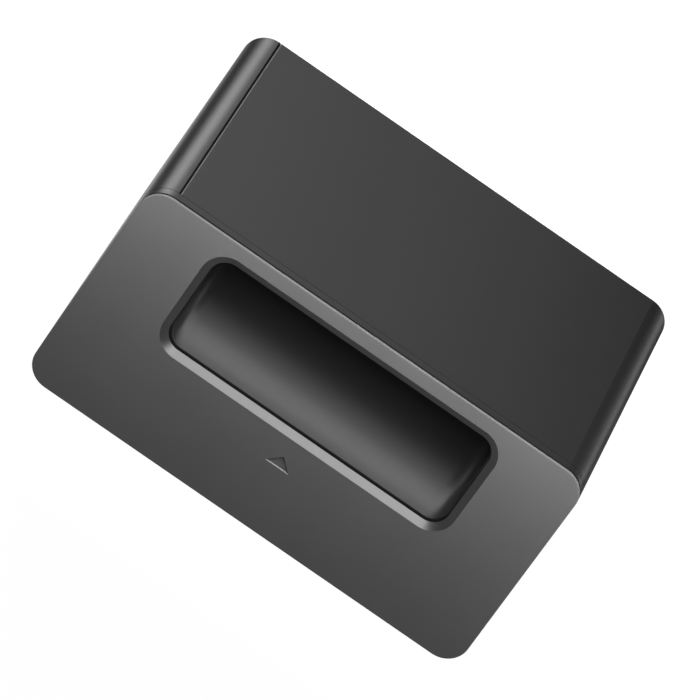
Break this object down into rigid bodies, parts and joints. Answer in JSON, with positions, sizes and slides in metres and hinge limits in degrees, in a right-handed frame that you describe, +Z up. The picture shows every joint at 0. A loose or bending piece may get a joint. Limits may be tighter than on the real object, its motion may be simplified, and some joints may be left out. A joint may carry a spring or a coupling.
{
  "type": "robot vacuum detergent dispenser",
  "caption": "Removable detergent tank for a robot vacuum dock: dark box with a finger trough in the front panel, refill door, sprung drain valve and air vent at the back.",
  "frame": {"origin": "on the resting plane, under the middle of the box", "axes": "+X to the right seen from the front panel, +Y from the front panel to the back wall, +Z up"},
  "size_m": [0.128, 0.106, 0.0626],
  "materials": {
    "panel": "fine satin dark grey",
    "carrier": "moulded satin charcoal",
    "shell": "fine spark-eroded texture",
    "cover": "fine spark-eroded texture",
    "door": "moulded satin charcoal",
    "seal": "moulded silicone",
    "steel": "plain stainless",
    "valve": "natural acetal",
    "pickup": "natural polypropylene"
  },
  "bodies": {
    "tank": {"front_panel": "panel", "grip_carrier": "carrier", "carrier_screws": "steel", "tank_shell": "shell", "side_cover": "cover", "refill_hinge_pin": "steel", "valve_housing": "valve", "valve_housing_ring": "seal", "valve_screws": "steel", "valve_spring": "steel", "valve_cage": "valve", "pickup_elbow": "pickup", "pickup_strainer": "pickup", "vent_insert": "valve", "vent_umbrella": "seal"},
    "refill_door": {"refill_door": "door", "refill_door_seal": "seal"},
    "valve_poppet": {"valve_poppet": "valve", "valve_poppet_seal": "seal"}
  },
  "joints": [
    {"name": "refill_door_hinge", "type": "hinge", "parent": "tank", "child": "refill_door", "pos_m": [-0.016, 0.0513, 0.0541], "axis": [1, 0, 0], "range_deg": [0, 110]},
    {"name": "valve_poppet_slide", "type": "slide", "parent": "tank", "child": "valve_poppet", "axis": [0, -1, 0], "range_m": [0, 0.004], "stiffness_N_per_m": 250, "springref_m": -0.004, "deforming": ["valve_spring"]}
  ]
}
